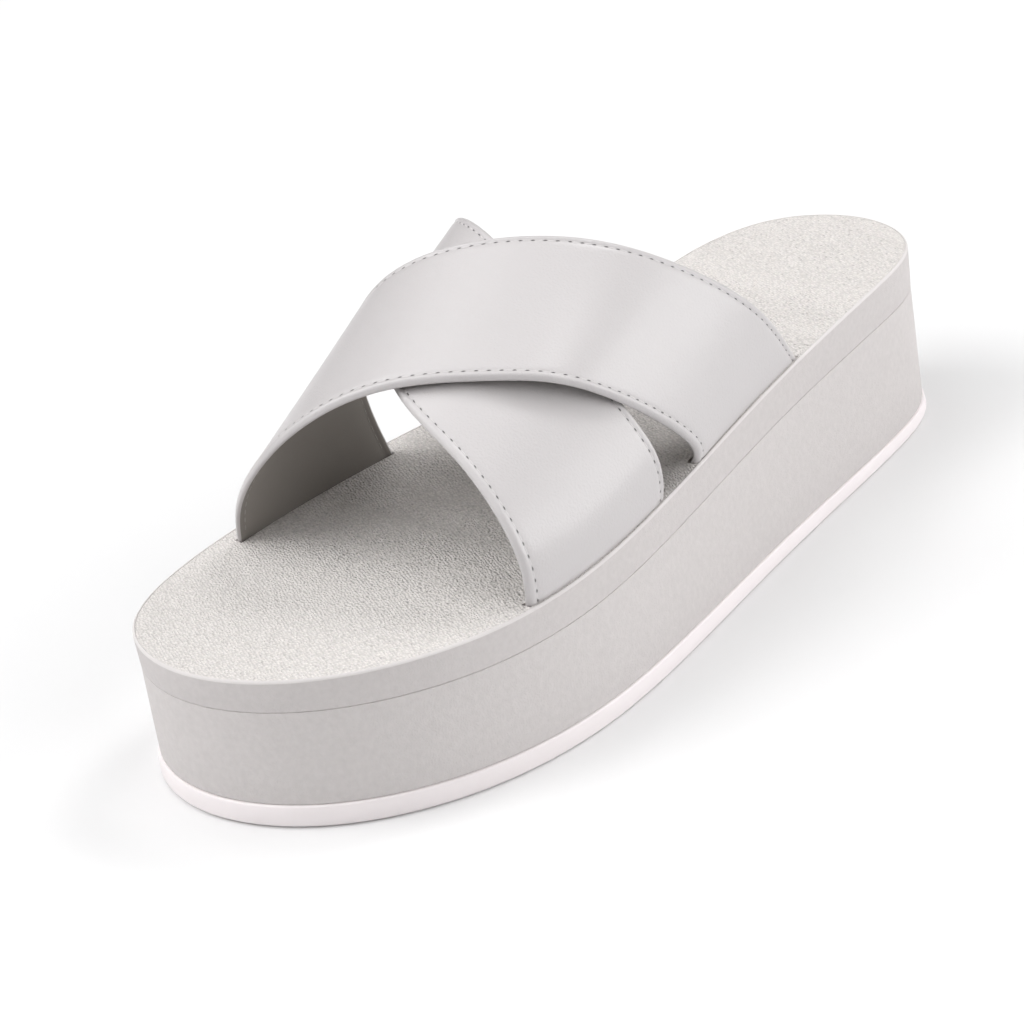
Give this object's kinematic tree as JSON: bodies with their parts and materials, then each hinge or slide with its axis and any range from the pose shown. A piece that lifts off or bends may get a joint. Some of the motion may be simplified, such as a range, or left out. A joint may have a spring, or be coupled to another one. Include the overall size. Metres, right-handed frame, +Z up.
{
  "type": "cross strap platform sandal",
  "caption": "Left platform slide sandal with wide smooth straps crossing over a woven insole, on a thick wedge sole that is flat underneath.",
  "frame": {"origin": "on the floor, under the middle of the sole", "axes": "+Z up, toe towards -Y, heel towards +Y, the wearer's outer side towards +X"},
  "size_m": [0.0952, 0.2566, 0.0982],
  "materials": {
    "outsole_rubber": "matt off-white rubber with a faint pink tint",
    "midsole_foam": "matt pale grey foam with a very fine grain",
    "footbed_cover": "matt pale grey cover with a very fine grain",
    "insole_textile": "warm grey woven textile with small pinholes",
    "strap_leather": "smooth light grey leather with a soft sheen"
  },
  "bodies": {
    "root": {"outsole": "outsole_rubber", "midsole": "midsole_foam", "footbed": "footbed_cover", "insole": "insole_textile", "cross_straps": "strap_leather"}
  },
  "joints": []
}
